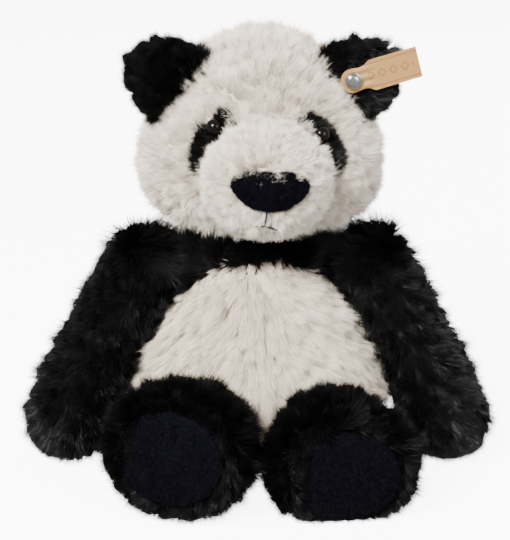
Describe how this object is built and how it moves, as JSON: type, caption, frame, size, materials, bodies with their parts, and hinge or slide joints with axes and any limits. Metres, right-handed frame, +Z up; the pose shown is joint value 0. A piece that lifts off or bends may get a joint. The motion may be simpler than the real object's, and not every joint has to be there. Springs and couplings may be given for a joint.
{
  "type": "plush panda",
  "caption": "Seated plush panda with stuffed limbs that flex at neck, shoulders and hips, folding ears, padded soles and a riveted ear ribbon.",
  "frame": {"origin": "middle of the flat seat that the panda sits on, at the surface it sits on", "axes": "+Z up, the panda faces -Y, its own left side is +X"},
  "size_m": [0.2836, 0.2218, 0.2649],
  "materials": {
    "cream_plush": "matte",
    "black_plush": "matte",
    "velour": "matte",
    "fibre_fill": "matte",
    "pellets": "satin",
    "eye_black": "gloss",
    "nylon": "satin",
    "nickel": "satin",
    "woven_ribbon": "satin",
    "black_thread": "satin"
  },
  "bodies": {
    "body": {"back_panel_left": "cream_plush", "back_panel_right": "cream_plush", "belly_panel_right": "cream_plush", "belly_panel_left": "cream_plush", "yoke_back": "black_plush", "yoke_front": "black_plush", "seat_panel": "cream_plush", "body_stuffing": "fibre_fill", "pellet_bag": "pellets", "tail_cover": "cream_plush", "tail_stuffing": "fibre_fill"},
    "neck": {"neck_stuffing": "fibre_fill"},
    "head": {"cheek_right": "cream_plush", "cheek_left": "cream_plush", "forehead_gusset": "cream_plush", "head_back_right": "cream_plush", "head_back_left": "cream_plush", "head_stuffing": "fibre_fill", "muzzle_cover": "cream_plush", "muzzle_stuffing": "fibre_fill", "nose_pad": "velour", "mouth_stitch": "black_thread", "eye_patch_right": "black_plush", "eye_right": "eye_black", "eye_washer_right": "nylon", "eye_patch_left": "black_plush", "eye_left": "eye_black", "eye_washer_left": "nylon"},
    "ear_right": {"ear_right_front": "black_plush", "ear_right_back": "black_plush"},
    "shoulder_right": {"shoulder_right_stuffing": "fibre_fill"},
    "arm_right": {"arm_right_outer": "black_plush", "arm_right_inner": "black_plush", "arm_right_stuffing": "fibre_fill"},
    "hip_right": {"hip_right_stuffing": "fibre_fill"},
    "leg_right": {"leg_right_upper": "black_plush", "leg_right_lower": "black_plush", "sole_right": "velour", "leg_right_stuffing": "fibre_fill"},
    "ear_left": {"ear_left_front": "black_plush", "ear_left_back": "black_plush", "tag_rivet": "nickel", "tag_rivet_washer": "nickel"},
    "shoulder_left": {"shoulder_left_stuffing": "fibre_fill"},
    "arm_left": {"arm_left_outer": "black_plush", "arm_left_inner": "black_plush", "arm_left_stuffing": "fibre_fill"},
    "hip_left": {"hip_left_stuffing": "fibre_fill"},
    "leg_left": {"leg_left_upper": "black_plush", "leg_left_lower": "black_plush", "sole_left": "velour", "leg_left_stuffing": "fibre_fill"},
    "ear_tag": {"tag_ribbon": "woven_ribbon"}
  },
  "joints": [
    {"name": "head_turn", "type": "hinge", "parent": "body", "child": "neck", "pos_m": [0, 0.004, 0.146], "axis": [0, 0, 1], "range_deg": [-35, 35], "stiffness_Nm_per_rad": 0.5},
    {"name": "head_nod", "type": "hinge", "parent": "neck", "child": "head", "pos_m": [0, 0.004, 0.146], "axis": [1, 0, 0], "range_deg": [-18, 14], "stiffness_Nm_per_rad": 0.8},
    {"name": "arm_right_raise", "type": "hinge", "parent": "body", "child": "shoulder_right", "pos_m": [-0.068, 0.002, 0.118], "axis": [0, 1, 0], "range_deg": [0, 60], "stiffness_Nm_per_rad": 0.06},
    {"name": "arm_right_swing", "type": "hinge", "parent": "shoulder_right", "child": "arm_right", "pos_m": [-0.068, 0.002, 0.118], "axis": [1, 0, 0], "range_deg": [-90, 20], "stiffness_Nm_per_rad": 0.06},
    {"name": "leg_right_splay", "type": "hinge", "parent": "body", "child": "hip_right", "pos_m": [-0.034, -0.05, 0.029], "axis": [0, 0, -1], "range_deg": [0, 28], "stiffness_Nm_per_rad": 0.06},
    {"name": "leg_right_swing", "type": "hinge", "parent": "hip_right", "child": "leg_right", "pos_m": [-0.034, -0.05, 0.029], "axis": [-1, 0, 0], "range_deg": [-75, 6], "stiffness_Nm_per_rad": 0.06},
    {"name": "ear_right_fold", "type": "hinge", "parent": "head", "child": "ear_right", "pos_m": [-0.04984, -0.01967, 0.23709], "axis": [0.6073, 0.0425, 0.7934], "range_deg": [-30, 30], "stiffness_Nm_per_rad": 0.01},
    {"name": "arm_left_raise", "type": "hinge", "parent": "body", "child": "shoulder_left", "pos_m": [0.068, 0.002, 0.118], "axis": [0, -1, 0], "range_deg": [0, 60], "stiffness_Nm_per_rad": 0.06},
    {"name": "arm_left_swing", "type": "hinge", "parent": "shoulder_left", "child": "arm_left", "pos_m": [0.068, 0.002, 0.118], "axis": [1, 0, 0], "range_deg": [-90, 20], "stiffness_Nm_per_rad": 0.06},
    {"name": "leg_left_splay", "type": "hinge", "parent": "body", "child": "hip_left", "pos_m": [0.034, -0.05, 0.029], "axis": [0, 0, 1], "range_deg": [0, 28], "stiffness_Nm_per_rad": 0.06},
    {"name": "leg_left_swing", "type": "hinge", "parent": "hip_left", "child": "leg_left", "pos_m": [0.034, -0.05, 0.029], "axis": [-1, 0, 0], "range_deg": [-75, 6], "stiffness_Nm_per_rad": 0.06},
    {"name": "ear_left_fold", "type": "hinge", "parent": "head", "child": "ear_left", "pos_m": [0.05701, -0.0122, 0.23642], "axis": [0.536, 0.0375, -0.8434], "range_deg": [-30, 30], "stiffness_Nm_per_rad": 0.01},
    {"name": "ear_tag_turn", "type": "hinge", "parent": "ear_left", "child": "ear_tag", "pos_m": [0.05673, -0.01924, 0.23949], "axis": [0.0698, -0.9976, 0], "range_deg": [-50, 50]}
  ]
}
